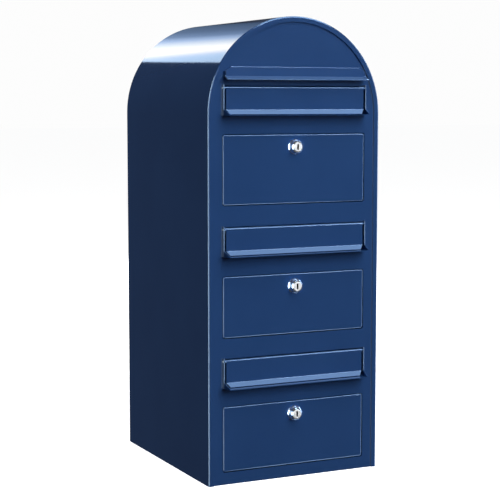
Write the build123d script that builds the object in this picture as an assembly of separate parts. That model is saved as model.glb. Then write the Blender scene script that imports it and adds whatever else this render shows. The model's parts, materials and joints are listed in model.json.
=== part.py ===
from build123d import *
import os

# Three-compartment steel mailbox with a barrel-vaulted top.
# Millimetres. X runs to the right, -Y is the front, +Z is up.
# The origin is the centre of the base, on the surface that the box stands on.

# ---- cabinet -------------------------------------------------------------
WIDTH = 310.0
DEPTH = 354.0
HEIGHT = 752.0
ARCH_RADIUS = WIDTH / 2
SPRING_Z = HEIGHT - ARCH_RADIUS      # where the straight sides meet the arch
SHEET = 1.2                          # sheet steel of every panel
RIM_WIDTH = 9.0                      # turned-in hem round the front and the back
RIM_DEPTH = 2 * SHEET                # the hem is folded flat on itself
EDGE_RADIUS = 2.4                    # outside bend between side and rim
FIT_GAP = 0.2                        # between the shell and the sheets inside it
SEAM = 0.1                           # between parts that are screwed or welded together
BEND_RADIUS = 1.5                    # inside of the bends in the flaps

FRONT_Y = -DEPTH / 2
FACE_Y = FRONT_Y + RIM_DEPTH         # outer face of the front plate
PLATE_BACK_Y = FACE_Y + SHEET        # inner face of the front plate
BACK_FACE_Y = -FACE_Y                # outer face of the back plate
LINING = SHEET + FIT_GAP             # inset of everything that sits inside the shell
PLATE_BOTTOM_Z = SHEET + SEAM

PAN_EDGE = 15.0                      # folded edge of the base and of the dividers
BASE_HOLE_RADIUS = 4.25
BASE_HOLE_X = 100.0
BASE_HOLE_Y = 120.0
WALL_HOLE_RADIUS = 4.25
WALL_HOLE_X = 100.0
WALL_HOLES_Z = (100.0, 600.0)

# ---- the three compartments ----------------------------------------------
# name: (top of the flap, top of the door, bottom of the door)
COMPARTMENTS = {
    "top": (640.0, 564.0, 452.0),
    "middle": (416.5, 338.0, 239.0),
    "bottom": (204.5, 127.3, 20.8),
}
DIVIDERS = {"upper_divider": 440.0, "lower_divider": 230.0}      # top surfaces

# ---- mail slot: frame, flap and pin, measured down from the flap's top ----
FLAP_HALF = 124.4
FLAP_PROUD = 4.2                     # flap's outer face, out from the front plate
FLAP_CREASE = 36.8                   # down to the bend of the lip
LIP_DROP = 7.0
LIP_REACH = 4.6
LIP_TAPER = 6.0                      # cut off each end of the lip at its edge
BARREL_RADIUS = 2.6                  # rolled hinge barrel, a little wider than the flap
BARREL_HALF = 127.1
FLAP_PIN_RADIUS = 1.5
PIN_CLEARANCE = 0.05
FRAME_HALF = 129.4                   # outer faces of the two cheeks
FRAME_ABOVE = 2.6                    # frame's top above the flap's top
FRAME_BELOW = 46.0                   # frame's underside below the flap's top
CHUTE_DEPTH = 25.0                   # frame behind the front plate
CHEEK_SHEET = 2.0
CHEEK_PROUD = 5.6
CHEEK_EDGE_RADIUS = 0.9
EAR_DROP = 36.3                      # where a cheek turns out along the tray
TRAY_REACH = 22.6                    # tray's edge, out from the front plate
TRAY_TAPER = 3.0                     # tray is narrower at its edge, each side
TIP_HEIGHT = 2.2

# ---- rain visor over the top slot ----------------------------------------
VISOR_HALF = 127.2
VISOR_TOP_Z = 671.0
VISOR_BEND_Z = 656.2                 # bend between the hood and its lip
VISOR_EDGE_Z = 651.2
VISOR_TOP_PROUD = 4.4
VISOR_BEND_PROUD = 6.6
VISOR_REACH = 17.2
VISOR_CORNER_WIDTH = 12.4            # cut off each upper corner
VISOR_CORNER_HEIGHT = 7.6
VISOR_SLANT = 2.4                    # how far each end of the hood leans in
VISOR_SHEET = 1.5

# ---- doors ---------------------------------------------------------------
DOOR_HALF = 128.5
DOOR_GAP = 0.8                       # at the top and the sides
DOOR_GAP_BELOW = 0.9
DOOR_RETURN = 12.0                   # depth of the folded edges
DOOR_CORNER = 3.0
DOOR_EDGE_RADIUS = 2.2
HINGE_SETBACK = 6.0                  # axis behind the door's face and above its bottom
DOOR_PIN_RADIUS = 2.0
DOOR_PIN_HEAD = (3.3, 1.2)           # radius, thickness
DOOR_PIN_BEYOND = 1.5                # pin's end, past the bracket
BRACKET_SHEET = 1.5
BRACKET_HALF = 130.0                 # inner faces of the brackets
BRACKET_LEG = 12.0
BRACKET_HEIGHT = 16.0
BRACKET_BELOW = 7.0                  # under the door's axis

# ---- cam lock, centred on the door ---------------------------------------
LOCK_DROP = 20.5                     # axis below the door's top
BEZEL_RADIUS = 12.2
BEZEL_PROUD = 10.5
BEZEL_FLANGE = 1.6                   # thickness of the bezel's rim
BEZEL_FACE_RADIUS = 8.6
BEZEL_BEVEL = 0.8
HOUSING_RADIUS = 9.0
HOUSING_END_Y = FACE_Y + 12.6
PLUG_RADIUS = 7.5
PLUG_PROUD = 11.1
PLUG_CHAMFER = 0.6
PLUG_SHOULDER_Y = FACE_Y + 10.2
TAIL_RADIUS = 4.5
KEYWAY = (3.0, 9.0, 13.0)            # width, height, depth
NUT_HALF = 12.0                      # half the width across flats
NUT_THICKNESS = 4.0
CAM_EYE_RADIUS = 8.0
CAM_LENGTH = 30.0
CAM_WIDTH = 12.0
CAM_SHEET = 2.0
CAM_Y = HOUSING_END_Y + 0.35         # front face of the cam
SQUARE = 6.0
SCREW_RADIUS = 2.0
SCREW_HEAD = (3.5, 3.0)              # radius, height
SCREW_FLANGE = (4.5, 0.8)
SCREW_SLOT = (1.0, 1.4)              # width, depth
SCREW_INTO_PLUG = 4.0
KEEPER_HALF = 12.0
KEEPER_LEG = 12.0
KEEPER_LIFT = 2.0                    # above the door opening
KEEPER_TO_CAM = 0.6


# ---- shapes --------------------------------------------------------------
def block(x, y, z):
    """Box between (low, high) pairs."""
    middle = [(low + high) / 2 for low, high in (x, y, z)]
    size = [high - low for low, high in (x, y, z)]
    return Pos(*middle) * Box(*size)


def rod_x(radius, x, y, z):
    return Pos((x[0] + x[1]) / 2, y, z) * Rot(0, 90, 0) * Cylinder(radius, x[1] - x[0])


def rod_y(radius, y, x, z):
    return Pos(x, (y[0] + y[1]) / 2, z) * Rot(90, 0, 0) * Cylinder(radius, y[1] - y[0])


def rod_z(radius, z, x, y):
    return Pos(x, y, (z[0] + z[1]) / 2) * Cylinder(radius, z[1] - z[0])


def facing_prism(outline, y):
    """A sketch of X and Z, carried from y[0] to y[1]."""
    return Pos(0, y[1], 0) * extrude(Plane.XZ * outline, y[1] - y[0])


def side_prism(outline, x):
    """A sketch of Y and Z, carried from x[0] to x[1]."""
    return Pos(x[0], 0, 0) * extrude(Plane.YZ * outline, x[1] - x[0])


def polygon(*points):
    return make_face(Polyline(*points, close=True))


def folded(points, bend, thickness):
    """Section of a bent sheet: a line of points with rounded bends, thickened to its left."""
    line = FilletPolyline(*points, radius=bend)
    return make_face(offset(line, amount=thickness, side=Side.LEFT))


def arch_prism(inset, y, z_low):
    """The cabinet's outline, moved in by inset and open to z_low."""
    radius = ARCH_RADIUS - inset
    sides = Pos(0, (z_low + SPRING_Z) / 2) * Rectangle(2 * radius, SPRING_Z - z_low)
    return facing_prism(sides + Pos(0, SPRING_Z) * Circle(radius), y)


def rounded_prism(half_width, z, corner, y):
    middle = Pos(0, (z[0] + z[1]) / 2)
    return facing_prism(middle * RectangleRounded(2 * half_width, z[1] - z[0], corner), y)


# ---- cabinet -------------------------------------------------------------
def body_shell():
    below = -10.0
    shell = arch_prism(0, (FRONT_Y, -FRONT_Y), 0)
    outer_edges = shell.edges().filter_by_position(Axis.Y, FRONT_Y, FRONT_Y)
    outer_edges += shell.edges().filter_by_position(Axis.Y, -FRONT_Y, -FRONT_Y)
    shell = fillet(outer_edges.filter_by(lambda edge: edge.center().Z > 1), EDGE_RADIUS)
    shell -= arch_prism(SHEET, (FACE_Y, BACK_FACE_Y), below)
    return shell - arch_prism(RIM_WIDTH, (FRONT_Y - 1, 1 - FRONT_Y), below)


def slot_opening(flap_top):
    side = (-FRAME_HALF - SEAM, FRAME_HALF + SEAM)
    height = (flap_top - FRAME_BELOW - SEAM, flap_top + FRAME_ABOVE + SEAM)
    return block(side, (FRONT_Y, 0), height)


def door_opening(door_top, door_bottom):
    height = (door_bottom - DOOR_GAP_BELOW, door_top + DOOR_GAP)
    return rounded_prism(DOOR_HALF + DOOR_GAP, height, DOOR_CORNER + DOOR_GAP, (FRONT_Y, 0))


def front_plate():
    plate = arch_prism(LINING, (FACE_Y + SEAM / 2, PLATE_BACK_Y), PLATE_BOTTOM_Z)
    for flap_top, door_top, door_bottom in COMPARTMENTS.values():
        plate -= slot_opening(flap_top)
        plate -= door_opening(door_top, door_bottom)
    return plate


def back_plate():
    plate = arch_prism(LINING, (BACK_FACE_Y - SHEET, BACK_FACE_Y - SEAM / 2), PLATE_BOTTOM_Z)
    for x in (-WALL_HOLE_X, WALL_HOLE_X):
        for z in WALL_HOLES_Z:
            plate -= rod_y(WALL_HOLE_RADIUS, (0, DEPTH), x, z)
    return plate


def pan(top_or_bottom_z, edge_to_z):
    """A sheet that fills the cabinet, with its four edges folded towards edge_to_z."""
    x = ARCH_RADIUS - LINING
    y = -PLATE_BACK_Y - SEAM
    low, high = sorted((top_or_bottom_z, edge_to_z))
    solid = block((-x, x), (-y, y), (low, high))
    if edge_to_z > top_or_bottom_z:
        hollow = (low + SHEET, high + 1)
    else:
        hollow = (low - 1, high - SHEET)
    return solid - block((SHEET - x, x - SHEET), (SHEET - y, y - SHEET), hollow)


def base_plate():
    x = ARCH_RADIUS - LINING
    plate = pan(0, PAN_EDGE) + block((-x, x), (FACE_Y, BACK_FACE_Y), (0, SHEET))
    for hole_x in (-BASE_HOLE_X, BASE_HOLE_X):
        for hole_y in (-BASE_HOLE_Y, BASE_HOLE_Y):
            plate -= rod_z(BASE_HOLE_RADIUS, (-5, 5), hole_x, hole_y)
    return plate


def divider(top_z):
    return pan(top_z, top_z - PAN_EDGE)


def visor_hood(inset):
    """Box with slanted ends and clipped upper corners, its faces moved in by inset."""
    half, top_z = VISOR_HALF - inset, VISOR_TOP_Z - inset
    low_z = VISOR_BEND_Z - inset
    back_y = FACE_Y - SEAM / 2 + inset
    top_y = FACE_Y - VISOR_TOP_PROUD + inset
    bend_y = FACE_Y - VISOR_BEND_PROUD + inset
    side_view = polygon((back_y, low_z), (back_y, top_z), (top_y, top_z), (bend_y, low_z))
    corner_x, corner_z = half - VISOR_CORNER_WIDTH, top_z - VISOR_CORNER_HEIGHT
    front_view = polygon(
        (-half, low_z),
        (-half, corner_z),
        (-corner_x, top_z),
        (corner_x, top_z),
        (half, corner_z),
        (half, low_z),
    )
    plan = polygon(
        (-half, back_y),
        (half, back_y),
        (half - VISOR_SLANT, bend_y),
        (VISOR_SLANT - half, bend_y),
    )
    hood = side_prism(side_view, (-half, half))
    hood &= facing_prism(front_view, (bend_y, back_y))
    return hood & Pos(0, 0, low_z) * extrude(plan, top_z - low_z)


def slot_visor():
    """Rain hood, open below and behind, whose lip runs down and out over the slot."""
    bend_y, edge_y = FACE_Y - VISOR_BEND_PROUD, FACE_Y - VISOR_REACH
    hood = visor_hood(0) - visor_hood(VISOR_SHEET)
    lip = polygon(
        (bend_y + VISOR_SHEET, VISOR_BEND_Z + VISOR_SHEET),
        (bend_y, VISOR_BEND_Z),
        (edge_y, VISOR_EDGE_Z),
        (edge_y, VISOR_EDGE_Z - VISOR_SHEET),
        (bend_y + VISOR_SHEET, VISOR_BEND_Z - VISOR_SHEET),
    )
    visor = hood + side_prism(lip, (-VISOR_HALF, VISOR_HALF))
    ledge = visor.edges().filter_by(Axis.X).filter_by_position(Axis.Z, VISOR_TOP_Z, VISOR_TOP_Z)
    ledge = ledge.filter_by(lambda edge: edge.center().Y < FACE_Y - 1)
    visor = fillet(ledge, VISOR_SHEET / 2)
    tip = visor.edges().filter_by(Axis.X).filter_by_position(Axis.Y, edge_y, edge_y)
    return fillet(tip, VISOR_SHEET / 3)


# ---- mail slot -----------------------------------------------------------
def flap_axis(flap_top):
    """Y and Z of the line that a flap swings on."""
    return FACE_Y - FLAP_PROUD + BARREL_RADIUS, flap_top - BARREL_RADIUS


def cheek(top, bottom, bend_z):
    """Side of a slot's frame, on the right: upright beside the flap, then out along the tray."""
    inner = FRAME_HALF - CHEEK_SHEET
    cheek_y, tip_y = FACE_Y - CHEEK_PROUD, FACE_Y - TRAY_REACH
    upright = block((inner, FRAME_HALF), (cheek_y, FACE_Y), (bottom, top))
    front = upright.edges().filter_by(Axis.Z).filter_by_position(Axis.Y, cheek_y, cheek_y)
    upright = fillet(front, CHEEK_EDGE_RADIUS)
    side_view = polygon(
        (cheek_y, bottom),
        (cheek_y, bend_z),
        (tip_y, bottom + TIP_HEIGHT),
        (tip_y, bottom),
    )
    plan = polygon(
        (inner, cheek_y),
        (FRAME_HALF, cheek_y),
        (FRAME_HALF - TRAY_TAPER, tip_y),
        (inner - TRAY_TAPER, tip_y),
    )
    ear = side_prism(side_view, (inner - TRAY_TAPER, FRAME_HALF))
    ear &= Pos(0, 0, bottom) * extrude(plan, top - bottom)
    upper = ear.edges().filter_by(lambda edge: edge.center().Z > bottom + TIP_HEIGHT + 1)
    slope = upper.filter_by(lambda edge: cheek_y - 1 > edge.center().Y > tip_y + 1)
    ear = fillet(slope, CHEEK_EDGE_RADIUS)
    link = block((inner, FRAME_HALF), (cheek_y - 0.01, cheek_y + 1), (bottom, bend_z - 1))
    return upright + ear + link


def slot_frame(flap_top):
    """Chute through the plate, with a cheek on each side of the flap and a tray below it."""
    top, bottom = flap_top + FRAME_ABOVE, flap_top - FRAME_BELOW
    inner = FRAME_HALF - CHEEK_SHEET
    chute_y = (FACE_Y, FACE_Y + CHUTE_DEPTH)
    frame = block((-FRAME_HALF, FRAME_HALF), chute_y, (bottom, top))
    frame -= block((-inner, inner), (chute_y[0] - 1, chute_y[1] + 1), (bottom + SHEET, top - SHEET))
    right = cheek(top, bottom, flap_top - EAR_DROP)
    frame += right
    frame += mirror(right, Plane.YZ)
    floor = polygon(
        (-inner, FACE_Y),
        (inner, FACE_Y),
        (inner, FACE_Y - CHEEK_PROUD),
        (inner - TRAY_TAPER, FACE_Y - TRAY_REACH),
        (TRAY_TAPER - inner, FACE_Y - TRAY_REACH),
        (-inner, FACE_Y - CHEEK_PROUD),
    )
    frame += Pos(0, 0, bottom) * extrude(floor, SHEET)
    axis_y, axis_z = flap_axis(flap_top)
    hole = FLAP_PIN_RADIUS + PIN_CLEARANCE
    return frame - rod_x(hole, (-WIDTH, WIDTH), axis_y, axis_z)


def flap(flap_top):
    """Flat plate hung from a rolled barrel, with a lip turned out along its bottom."""
    axis_y, axis_z = flap_axis(flap_top)
    face_y = FACE_Y - FLAP_PROUD
    crease_z = flap_top - FLAP_CREASE
    section = folded(
        [
            (face_y, axis_z),
            (face_y, crease_z),
            (face_y - LIP_REACH, crease_z - LIP_DROP),
        ],
        BEND_RADIUS,
        SHEET,
    )
    front_view = polygon(
        (-FLAP_HALF, axis_z),
        (FLAP_HALF, axis_z),
        (FLAP_HALF, crease_z),
        (FLAP_HALF - LIP_TAPER, crease_z - LIP_DROP - 1),
        (LIP_TAPER - FLAP_HALF, crease_z - LIP_DROP - 1),
        (-FLAP_HALF, crease_z),
    )
    plate = side_prism(section, (-FLAP_HALF, FLAP_HALF))
    plate &= facing_prism(front_view, (face_y - LIP_REACH - 2, face_y + 2))
    plate += rod_x(BARREL_RADIUS, (-BARREL_HALF, BARREL_HALF), axis_y, axis_z)
    return plate - rod_x(FLAP_PIN_RADIUS + PIN_CLEARANCE, (-WIDTH, WIDTH), axis_y, axis_z)


def flap_pin(flap_top):
    axis_y, axis_z = flap_axis(flap_top)
    pin = rod_x(FLAP_PIN_RADIUS, (-FRAME_HALF, FRAME_HALF), axis_y, axis_z)
    return chamfer(pin.edges().filter_by(GeomType.CIRCLE), 0.3)


# ---- door and its hinge --------------------------------------------------
def door_axis(door_bottom):
    """Y and Z of the line that a door drops on."""
    return FACE_Y + HINGE_SETBACK, door_bottom + HINGE_SETBACK


def lock_z(door_top):
    return door_top - LOCK_DROP


def door_panel(door_top, door_bottom):
    """Folded pan with rounded front edges, a lock hole and two hinge holes."""
    height = (door_bottom, door_top)
    panel = rounded_prism(DOOR_HALF, height, DOOR_CORNER, (FACE_Y, FACE_Y + DOOR_RETURN))
    front_edges = panel.edges().filter_by_position(Axis.Y, FACE_Y, FACE_Y)
    panel = fillet(front_edges, DOOR_EDGE_RADIUS)
    panel -= rounded_prism(
        DOOR_HALF - SHEET,
        (door_bottom + SHEET, door_top - SHEET),
        DOOR_CORNER - SHEET,
        (FACE_Y + SHEET, 0),
    )
    panel -= rod_y(HOUSING_RADIUS + SEAM, (FRONT_Y, 0), 0, lock_z(door_top))
    axis_y, axis_z = door_axis(door_bottom)
    return panel - rod_x(DOOR_PIN_RADIUS + PIN_CLEARANCE, (-WIDTH, WIDTH), axis_y, axis_z)


def mirrored_pair(solid):
    return Compound([solid, mirror(solid, Plane.YZ)])


def hinge_brackets(door_bottom):
    """An angle on each side of a door: one leg on the front plate, one with the pin hole."""
    axis_y, axis_z = door_axis(door_bottom)
    height = (axis_z - BRACKET_BELOW, axis_z - BRACKET_BELOW + BRACKET_HEIGHT)
    plate_y = PLATE_BACK_Y + SEAM
    outer = BRACKET_HALF + BRACKET_LEG
    leg = block((BRACKET_HALF, outer), (plate_y, plate_y + BRACKET_SHEET), height)
    arm_x = (BRACKET_HALF, BRACKET_HALF + BRACKET_SHEET)
    bracket = leg + block(arm_x, (plate_y, plate_y + BRACKET_LEG), height)
    bracket -= rod_x(DOOR_PIN_RADIUS + PIN_CLEARANCE, (0, WIDTH), axis_y, axis_z)
    return mirrored_pair(bracket)


def door_pins(door_bottom):
    """Headed pins that go out through the door's sides into the brackets."""
    axis_y, axis_z = door_axis(door_bottom)
    head_radius, head_thickness = DOOR_PIN_HEAD
    inside = DOOR_HALF - SHEET - SEAM
    end = BRACKET_HALF + BRACKET_SHEET + DOOR_PIN_BEYOND
    pin = rod_x(head_radius, (inside - head_thickness, inside), axis_y, axis_z)
    pin += rod_x(DOOR_PIN_RADIUS, (inside - head_thickness / 2, end), axis_y, axis_z)
    return mirrored_pair(pin)


def keeper(door_top):
    """Angle above the door opening whose inner edge holds the raised cam."""
    low = door_top + DOOR_GAP + KEEPER_LIFT
    side = (-KEEPER_HALF, KEEPER_HALF)
    plate_y = PLATE_BACK_Y + SEAM
    leg = block(side, (plate_y, plate_y + BRACKET_SHEET), (low, low + KEEPER_LEG))
    return leg + block(side, (plate_y, CAM_Y - KEEPER_TO_CAM), (low, low + BRACKET_SHEET))


# ---- cam lock ------------------------------------------------------------
def lock_housing(door_top):
    """Bezel that tapers out to its face, and the barrel behind it that holds the plug."""
    face_y = FACE_Y - BEZEL_PROUD
    seat_y = FACE_Y - SEAM / 2
    half_section = polygon(
        (0, seat_y),
        (BEZEL_RADIUS, seat_y),
        (BEZEL_RADIUS, FACE_Y - BEZEL_FLANGE),
        (BEZEL_RADIUS - BEZEL_BEVEL, FACE_Y - BEZEL_FLANGE - BEZEL_BEVEL),
        (BEZEL_FACE_RADIUS + BEZEL_BEVEL, face_y + BEZEL_BEVEL),
        (BEZEL_FACE_RADIUS, face_y),
        (0, face_y),
    )
    bezel = revolve(half_section, Axis.Y)
    housing = bezel + rod_y(HOUSING_RADIUS, (FACE_Y - 1, HOUSING_END_Y), 0, 0)
    housing -= rod_y(PLUG_RADIUS + PIN_CLEARANCE, (face_y - 1, PLUG_SHOULDER_Y), 0, 0)
    housing -= rod_y(TAIL_RADIUS + PIN_CLEARANCE, (FACE_Y, HOUSING_END_Y + 1), 0, 0)
    return Pos(0, 0, lock_z(door_top)) * housing


def lock_nut(door_top):
    nut_y = (PLATE_BACK_Y + SEAM, PLATE_BACK_Y + SEAM + NUT_THICKNESS)
    nut = facing_prism(RegularPolygon(NUT_HALF, 6, major_radius=False), nut_y)
    nut -= rod_y(HOUSING_RADIUS + SEAM, (FRONT_Y, 0), 0, 0)
    return Pos(0, 0, lock_z(door_top)) * nut


def lock_plug(door_top):
    """Cylinder with an upright keyway, a shouldered tail and a square for the cam."""
    front_y = FACE_Y - PLUG_PROUD
    plug = rod_y(PLUG_RADIUS, (front_y, PLUG_SHOULDER_Y - SEAM), 0, 0)
    rim = plug.edges().filter_by_position(Axis.Y, front_y, front_y)
    plug = chamfer(rim, PLUG_CHAMFER)
    plug += rod_y(TAIL_RADIUS, (FACE_Y, HOUSING_END_Y + SEAM), 0, 0)
    square_y = (FACE_Y, CAM_Y + CAM_SHEET - SEAM / 2)
    plug += block((-SQUARE / 2, SQUARE / 2), square_y, (-SQUARE / 2, SQUARE / 2))
    width, height, depth = KEYWAY
    keyway_y = (front_y - 1, front_y + depth)
    plug -= block((-width / 2, width / 2), keyway_y, (-height / 2, height / 2))
    screw_hole_y = (CAM_Y - SCREW_INTO_PLUG - 1, CAM_Y + CAM_SHEET)
    plug -= rod_y(SCREW_RADIUS + PIN_CLEARANCE, screw_hole_y, 0, 0)
    return Pos(0, 0, lock_z(door_top)) * plug


def lock_cam(door_top):
    """Flat lever on the plug's square, lying sideways while the lock is open."""
    cam_y = (CAM_Y, CAM_Y + CAM_SHEET)
    end = CAM_LENGTH - CAM_WIDTH / 2
    outline = Circle(CAM_EYE_RADIUS) + Pos(-end / 2, 0) * Rectangle(end, CAM_WIDTH)
    outline += Pos(-end, 0) * Circle(CAM_WIDTH / 2)
    cam = facing_prism(outline, cam_y)
    hole = SQUARE / 2 + SEAM / 2
    cam -= block((-hole, hole), (cam_y[0] - 1, cam_y[1] + 1), (-hole, hole))
    return Pos(0, 0, lock_z(door_top)) * cam


def cam_screw(door_top):
    """Slotted screw with a flange that holds the cam on the plug."""
    seat_y = CAM_Y + CAM_SHEET + SEAM / 2
    head_radius, head_height = SCREW_HEAD
    flange_radius, flange_thickness = SCREW_FLANGE
    slot_width, slot_depth = SCREW_SLOT
    screw = rod_y(flange_radius, (seat_y, seat_y + flange_thickness), 0, 0)
    screw += rod_y(head_radius, (seat_y, seat_y + head_height), 0, 0)
    screw += rod_y(SCREW_RADIUS, (CAM_Y - SCREW_INTO_PLUG, seat_y + flange_thickness), 0, 0)
    slot_y = (seat_y + head_height - slot_depth, seat_y + head_height + 1)
    screw -= block((-slot_width / 2, slot_width / 2), slot_y, (-head_radius, head_radius))
    return Pos(0, 0, lock_z(door_top)) * screw


# ---- assembly ------------------------------------------------------------
def compartment_parts(name, flap_top, door_top, door_bottom):
    """Every piece of one compartment, by node name."""
    return {
        f"{name}_slot_frame": slot_frame(flap_top),
        f"{name}_flap": flap(flap_top),
        f"{name}_flap_pin": flap_pin(flap_top),
        f"{name}_door": door_panel(door_top, door_bottom),
        f"{name}_door_pins": door_pins(door_bottom),
        f"{name}_hinge_brackets": hinge_brackets(door_bottom),
        f"{name}_keeper": keeper(door_top),
        f"{name}_lock_housing": lock_housing(door_top),
        f"{name}_lock_nut": lock_nut(door_top),
        f"{name}_lock_plug": lock_plug(door_top),
        f"{name}_lock_cam": lock_cam(door_top),
        f"{name}_cam_screw": cam_screw(door_top),
    }


def all_parts():
    parts = {
        "body_shell": body_shell(),
        "front_plate": front_plate(),
        "back_plate": back_plate(),
        "base_plate": base_plate(),
        "slot_visor": slot_visor(),
    }
    for name, top_z in DIVIDERS.items():
        parts[name] = divider(top_z)
    for name, heights in COMPARTMENTS.items():
        parts.update(compartment_parts(name, *heights))
    return parts


os.makedirs("parts", exist_ok=True)
for node, solid in all_parts().items():
    export_step(solid, f"parts/{node}.step")
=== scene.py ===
import json
import math

import bpy
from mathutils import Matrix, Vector

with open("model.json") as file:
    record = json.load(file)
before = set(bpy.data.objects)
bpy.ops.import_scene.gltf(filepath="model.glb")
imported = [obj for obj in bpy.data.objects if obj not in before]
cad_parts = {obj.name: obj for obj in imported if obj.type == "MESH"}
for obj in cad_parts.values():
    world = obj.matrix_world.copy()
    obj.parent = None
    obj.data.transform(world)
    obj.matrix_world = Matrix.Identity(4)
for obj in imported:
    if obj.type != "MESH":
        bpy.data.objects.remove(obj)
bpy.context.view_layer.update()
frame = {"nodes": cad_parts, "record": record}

# ---- camera, solved from the outline of the box in the photograph ---------
CAMERA_AT = (-1.0827, -2.2518, 0.6164)
CAMERA_AZIMUTH = 25.7535  # degrees from +Y toward +X
CAMERA_TILT = 5.865  # degrees downward
CAMERA_LENS = 104.18  # millimetres, on a sensor 36 mm wide
SENSOR_WIDTH = 36.0

# ---- surroundings --------------------------------------------------------
FLOOR_SIZE = 60.0
FLOOR_TONE = 0.9
FLOOR_GLOW = 0.93
BACKDROP = 0.98  # brightness of the white that the camera sees
ROOM_COLOUR = (0.9, 0.95, 1.0, 1)
ROOM_LIGHT = 0.05  # brightness of the world for all other rays

# ---- materials -----------------------------------------------------------
NOISE_LOW, NOISE_HIGH = 0.3, 0.7  # nearly all of a noise texture lies between these
PLUG_FACE_Y = -0.1857  # front of the lock plugs
KEYWAY_SHADE_DEPTH = 0.0016  # how far behind that face the painted shade of the keyway reaches full dark

# ---- lights --------------------------------------------------------------
MIDDLE = (0, 0, 0.4)
WHITE = (1.0, 1.0, 1.0)
SKY = (0.42, 0.66, 1.0)
PALE_SKY = (0.55, 0.77, 1.0)

# Light for the paint, with no reflection: name, place, (width, height), watts.
SOFT_LIGHTS = [
    ("key_above", (0.4, -1.6, 2.9), (2.2, 1.6), 45),
    ("fill_front", (0.9, -3.0, 1.7), (2.6, 2.2), 100),
    ("fill_left", (-2.6, 1.4, 0.9), (1.4, 1.4), 36),
    ("fill_right", (2.6, 0.8, 0.9), (1.2, 1.4), 30),
    ("fill_back", (0.8, 3.0, 1.1), (1.6, 1.6), 40),
]

# Boxes that are seen only as reflections: name, place, aim, (width, height), watts, colour.
REFLECTED_BOXES = [
    ("edge_box_left", (-2.6, -0.65, 0.5), MIDDLE, (2.1, 3.2), 300, PALE_SKY),
    ("edge_box_front_left", (-1.6, -3.3, 0.5), MIDDLE, (1.7, 3.2), 190, PALE_SKY),
    ("edge_box_right", (2.6, -0.7, 0.5), MIDDLE, (1.0, 3.2), 190, SKY),
    ("edge_box_above", (1.15, -0.1, 2.6), (1.15, -0.1, 0.0), (2.2, 4.2), 190, SKY),
    ("edge_box_high_front", (1.2, -2.2, 1.95), MIDDLE, (1.4, 0.5), 100, SKY),
    ("edge_box_below", (0.87, -1.2, -1.2), (0.87, -1.2, 0.0), (0.6, 1.2), 34, SKY),
]

# The card behind the box, whose reflection is the bright band along the barrel top.
CARD_Y = 2.7
CARD_OUTLINE = [(-0.15, 1.45), (1.10, 1.05), (1.10, 2.60), (-1.54, 2.60)]  # (x, z)
CARD_RAMP_FROM, CARD_RAMP_TO = -0.8, 1.1  # x where the ramp below starts and ends
CARD_STRENGTH = 5.0
CARD_RAMP = [
    (0.20, (0.47, 0.64, 0.86)),
    (0.25, (0.56, 0.68, 0.86)),
    (0.31, (0.95, 0.93, 0.90)),
    (0.38, (0.95, 0.93, 0.90)),
    (0.48, (0.57, 0.62, 0.66)),
    (0.58, (0.25, 0.33, 0.47)),
    (0.68, (0.09, 0.13, 0.20)),
    (0.80, (0.045, 0.065, 0.10)),
    (0.97, (0.02, 0.03, 0.045)),
]


# ---- shader helpers ------------------------------------------------------
def new_material(name):
    material = bpy.data.materials.new(name)
    material.use_nodes = True
    nodes = material.node_tree.nodes
    return material, nodes, material.node_tree.links, nodes["Principled BSDF"]


def object_coordinates(nodes):
    return nodes.new("ShaderNodeTexCoord").outputs["Object"]


def along_axis(nodes, links, axis):
    """Place of each point along one axis, "X", "Y" or "Z", of the object."""
    split = nodes.new("ShaderNodeSeparateXYZ")
    links.new(object_coordinates(nodes), split.inputs["Vector"])
    return split.outputs[axis]


def noise(nodes, links, scale, detail=4.0):
    texture = nodes.new("ShaderNodeTexNoise")
    texture.inputs["Scale"].default_value = scale
    texture.inputs["Detail"].default_value = detail
    links.new(object_coordinates(nodes), texture.inputs["Vector"])
    return texture.outputs["Fac"]


def rescale(nodes, links, value, source, target=(0.0, 1.0)):
    """Map the source range of a value onto the target range, and clamp it there."""
    node = nodes.new("ShaderNodeMapRange")
    node.inputs["From Min"].default_value, node.inputs["From Max"].default_value = source
    node.inputs["To Min"].default_value, node.inputs["To Max"].default_value = target
    links.new(value, node.inputs["Value"])
    return node.outputs["Result"]


def ramp(nodes, links, value, stops):
    node = nodes.new("ShaderNodeValToRGB")
    elements = node.color_ramp.elements
    while len(elements) < len(stops):
        elements.new(0.5)
    for element, (position, colour) in zip(elements, stops):
        element.position = position
        element.color = (*colour, 1.0)
    links.new(value, node.inputs["Fac"])
    return node.outputs["Color"]


def bump(nodes, links, height, strength, distance):
    node = nodes.new("ShaderNodeBump")
    node.inputs["Strength"].default_value = strength
    node.inputs["Distance"].default_value = distance
    links.new(height, node.inputs["Height"])
    return node.outputs["Normal"]


def uneven_roughness(nodes, links, shader, scale, low, high):
    patches = noise(nodes, links, scale)
    roughness = rescale(nodes, links, patches, (NOISE_LOW, NOISE_HIGH), (low, high))
    links.new(roughness, shader.inputs["Roughness"])


def uneven_colour(nodes, links, shader, scale, dark, light):
    tone = ramp(nodes, links, noise(nodes, links, scale), [(NOISE_LOW, dark), (NOISE_HIGH, light)])
    links.new(tone, shader.inputs["Base Color"])


# ---- materials -----------------------------------------------------------
def powder_coat():
    """Glossy dark-blue powder coat: faint orange peel, slight drift of colour and gloss."""
    material, nodes, links, shader = new_material("powder_coat_blue")
    colour = ramp(nodes, links, noise(nodes, links, 9.0), [
        (0.35, (0.0150, 0.0480, 0.148)),
        (0.65, (0.0165, 0.0520, 0.158)),
    ])
    links.new(colour, shader.inputs["Base Color"])
    uneven_roughness(nodes, links, shader, 40.0, 0.07, 0.10)
    orange_peel = noise(nodes, links, 420.0, detail=2.0)
    links.new(bump(nodes, links, orange_peel, 0.05, 0.0004), shader.inputs["Normal"])
    shader.inputs["IOR"].default_value = 1.5
    return material


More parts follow.
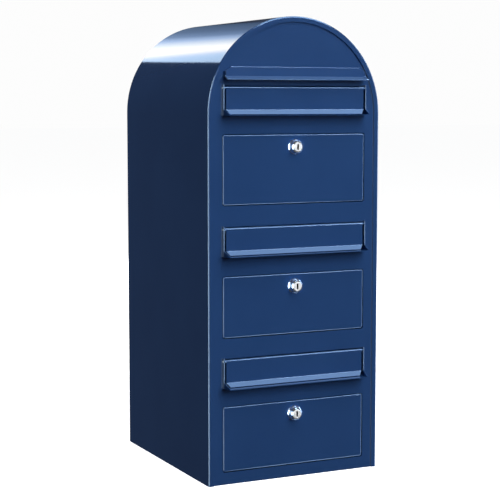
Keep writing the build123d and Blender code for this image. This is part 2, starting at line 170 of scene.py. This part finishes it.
def chrome():
    """Polished plating of the lock's bezel, a little hazy in patches."""
    material, nodes, links, shader = new_material("lock_chrome")
    shader.inputs["Metallic"].default_value = 0.9
    uneven_colour(nodes, links, shader, 120.0, (0.82, 0.83, 0.85), (0.90, 0.90, 0.92))
    uneven_roughness(nodes, links, shader, 300.0, 0.06, 0.12)
    return material


def plug_metal():
    """Satin face of the lock's plug; the keyway behind the face gets painted shade, coloured near
    black.
    """
    material, nodes, links, shader = new_material("lock_plug_satin_keyway_shade")
    shader.inputs["Metallic"].default_value = 0.2
    # painted shade: the base colour runs from pale at the plug's face to near black a little way
    # into the keyway
    depth = rescale(nodes, links, along_axis(nodes, links, "Y"),
                    (PLUG_FACE_Y, PLUG_FACE_Y + KEYWAY_SHADE_DEPTH))
    tone = ramp(nodes, links, depth, [
        (0.40, (0.92, 0.92, 0.93)),
        (0.75, (0.012, 0.012, 0.014)),
    ])
    links.new(tone, shader.inputs["Base Color"])
    uneven_roughness(nodes, links, shader, 260.0, 0.20, 0.32)
    return material


def zinc():
    """Bright zinc plating of the pins, nuts, cams and screws."""
    material, nodes, links, shader = new_material("zinc_plate")
    shader.inputs["Metallic"].default_value = 1.0
    uneven_colour(nodes, links, shader, 90.0, (0.50, 0.51, 0.50), (0.64, 0.65, 0.63))
    uneven_roughness(nodes, links, shader, 200.0, 0.28, 0.42)
    return material


def dress_cad_nodes():
    """Give each CAD node the finish of its material slot in the record."""
    finishes = {
        "powder_coat": powder_coat(),
        "lock_chrome": chrome(),
        "zinc_plated_steel": zinc(),
    }
    satin = plug_metal()
    slots = {entry["node"]: entry["material_slot"] for entry in frame["record"]["subparts"]}
    for name, node in frame["nodes"].items():
        node.data.materials.clear()
        finish = satin if name.endswith("_lock_plug") else finishes[slots[name]]
        node.data.materials.append(finish)


# ---- floor and backdrop --------------------------------------------------
def make_floor():
    """Pale floor that the camera sees, but that the glossy paint does not mirror."""
    bpy.ops.mesh.primitive_plane_add(size=FLOOR_SIZE, location=(0, 0, 0))
    floor = bpy.context.object
    floor.name = "floor"
    material, nodes, links, shader = new_material("floor_pale")
    shader.inputs["Base Color"].default_value = (FLOOR_TONE, FLOOR_TONE, FLOOR_TONE, 1.0)
    shader.inputs["Roughness"].default_value = 0.9
    shader.inputs["Specular IOR Level"].default_value = 0.0
    shader.inputs["Emission Color"].default_value = (*WHITE, 1.0)
    shader.inputs["Emission Strength"].default_value = FLOOR_GLOW
    floor.data.materials.append(material)
    floor.visible_glossy = False
    floor.visible_diffuse = False


def make_world():
    """White for the camera, and a faint even light for everything else."""
    world = bpy.data.worlds.new("studio")
    bpy.context.scene.world = world
    world.use_nodes = True
    nodes, links = world.node_tree.nodes, world.node_tree.links
    nodes.clear()
    seen = nodes.new("ShaderNodeBackground")
    seen.inputs["Color"].default_value = (*WHITE, 1.0)
    seen.inputs["Strength"].default_value = BACKDROP
    lit = nodes.new("ShaderNodeBackground")
    lit.inputs["Color"].default_value = ROOM_COLOUR
    lit.inputs["Strength"].default_value = ROOM_LIGHT
    rays = nodes.new("ShaderNodeLightPath")
    mix = nodes.new("ShaderNodeMixShader")
    links.new(rays.outputs["Is Camera Ray"], mix.inputs["Fac"])
    links.new(lit.outputs["Background"], mix.inputs[1])
    links.new(seen.outputs["Background"], mix.inputs[2])
    out = nodes.new("ShaderNodeOutputWorld")
    links.new(mix.outputs["Shader"], out.inputs["Surface"])


# ---- lights --------------------------------------------------------------
def area_light(name, place, aim, size, power, colour, diffuse, glossy):
    data = bpy.data.lights.new(name, "AREA")
    data.shape = "RECTANGLE"
    data.size, data.size_y = size
    data.energy = power
    data.color = colour
    light = bpy.data.objects.new(name, data)
    light.location = place
    direction = Vector(aim) - Vector(place)
    light.rotation_euler = direction.to_track_quat("-Z", "Y").to_euler()
    light.visible_camera = False
    light.visible_diffuse = diffuse
    light.visible_glossy = glossy
    bpy.context.scene.collection.objects.link(light)


def make_lights():
    """Soft light for the paint, and boxes that are only seen as reflections."""
    for name, place, size, power in SOFT_LIGHTS:
        area_light(name, place, MIDDLE, size, power, WHITE, diffuse=True, glossy=False)
    for name, place, aim, size, power, colour in REFLECTED_BOXES:
        area_light(name, place, aim, size, power, colour, diffuse=False, glossy=True)


def make_barrel_card():
    """Glowing card behind the box, seen only as the bright band along the barrel."""
    mesh = bpy.data.meshes.new("barrel_card")
    corners = [(x, CARD_Y, z) for x, z in CARD_OUTLINE]
    mesh.from_pydata(corners, [], [range(len(corners))])
    card = bpy.data.objects.new("barrel_card", mesh)
    bpy.context.scene.collection.objects.link(card)
    material, nodes, links, shader = new_material("barrel_card_glow")
    across = rescale(nodes, links, along_axis(nodes, links, "X"), (CARD_RAMP_FROM, CARD_RAMP_TO))
    links.new(ramp(nodes, links, across, CARD_RAMP), shader.inputs["Emission Color"])
    shader.inputs["Emission Strength"].default_value = CARD_STRENGTH
    shader.inputs["Base Color"].default_value = (0.0, 0.0, 0.0, 1.0)
    shader.inputs["Specular IOR Level"].default_value = 0.0
    mesh.materials.append(material)
    card.visible_camera = False
    card.visible_diffuse = False
    card.visible_shadow = False


# ---- camera --------------------------------------------------------------
def make_camera():
    data = bpy.data.cameras.new("camera")
    data.sensor_width = SENSOR_WIDTH
    data.lens = CAMERA_LENS
    camera = bpy.data.objects.new("camera", data)
    camera.location = CAMERA_AT
    camera.rotation_euler = (
        math.radians(90 - CAMERA_TILT), 0, math.radians(-CAMERA_AZIMUTH)
    )
    bpy.context.scene.collection.objects.link(camera)
    bpy.context.scene.camera = camera


# ---- build ---------------------------------------------------------------
dress_cad_nodes()
make_floor()
make_barrel_card()
make_lights()
make_world()
make_camera()
bpy.context.scene.view_settings.view_transform = "Standard"
bpy.context.scene.view_settings.look = "None"
